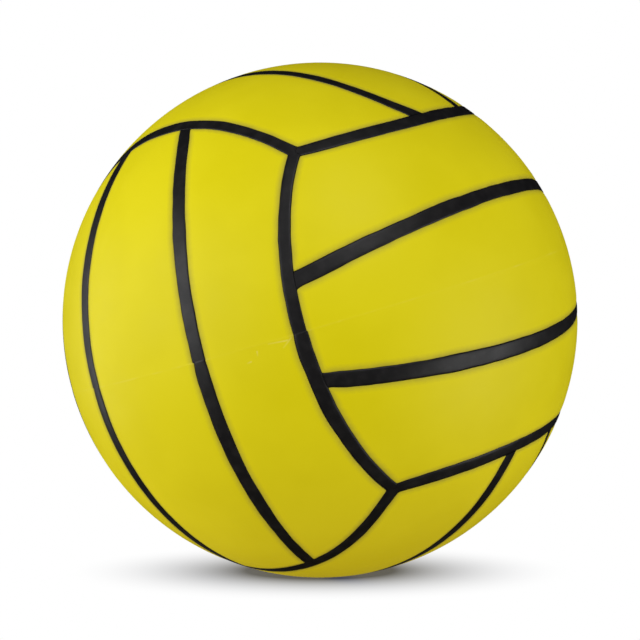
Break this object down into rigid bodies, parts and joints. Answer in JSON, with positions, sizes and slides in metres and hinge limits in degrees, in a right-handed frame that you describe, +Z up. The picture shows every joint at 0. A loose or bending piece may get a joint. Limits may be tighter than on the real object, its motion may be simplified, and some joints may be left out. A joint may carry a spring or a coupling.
{
  "type": "volleyball",
  "caption": "Round inflatable ball of yellow strip panels parted by black channel strips, over a carcass, winding and bladder, with a push-in pump valve.",
  "frame": {"origin": "centre of the ball", "axes": "+Z up as the ball lies in the picture, -Y towards its camera, +X to the camera's right"},
  "size_m": [0.2096, 0.21, 0.2098],
  "materials": {
    "cover": "satin yellow moulded cellular rubber",
    "channel_strip": "satin charcoal black rubber",
    "carcass": "matt black rubber",
    "winding": "natural nylon thread",
    "bladder": "matt black butyl rubber",
    "valve_seat": "matt black rubber",
    "valve_core": "satin black rubber"
  },
  "bodies": {
    "ball": {"panel_front_left": "cover", "panel_front_middle": "cover", "panel_front_right": "cover", "panel_right_lower": "cover", "panel_right_middle": "cover", "panel_right_upper": "cover", "panel_top_back": "cover", "panel_top_middle": "cover", "panel_top_front": "cover", "panel_back_right": "cover", "panel_back_middle": "cover", "panel_back_left": "cover", "panel_left_upper": "cover", "panel_left_middle": "cover", "panel_left_lower": "cover", "panel_bottom_front": "cover", "panel_bottom_middle": "cover", "panel_bottom_back": "cover", "inner_strip_front_left": "channel_strip", "inner_strip_front_right": "channel_strip", "inner_strip_right_lower": "channel_strip", "inner_strip_right_upper": "channel_strip", "inner_strip_top_back": "channel_strip", "inner_strip_top_front": "channel_strip", "inner_strip_back_right": "channel_strip", "inner_strip_back_left": "channel_strip", "inner_strip_left_upper": "channel_strip", "inner_strip_left_lower": "channel_strip", "inner_strip_bottom_front": "channel_strip", "inner_strip_bottom_back": "channel_strip", "edge_strip_front_left": "channel_strip", "edge_strip_front_right": "channel_strip", "edge_strip_right_lower": "channel_strip", "edge_strip_right_upper": "channel_strip", "edge_strip_top_back": "channel_strip", "edge_strip_top_front": "channel_strip", "edge_strip_back_right": "channel_strip", "edge_strip_back_left": "channel_strip", "edge_strip_left_upper": "channel_strip", "edge_strip_left_lower": "channel_strip", "edge_strip_bottom_front": "channel_strip", "edge_strip_bottom_back": "channel_strip", "carcass": "carcass", "winding": "winding", "bladder": "bladder", "valve_seat": "valve_seat"},
    "core": {"valve_core": "valve_core"}
  },
  "joints": [
    {"name": "valve_core_pull", "type": "slide", "parent": "ball", "child": "core", "axis": [-0.7462, 0.6165, -0.2513], "range_m": [0, 0.024]}
  ]
}
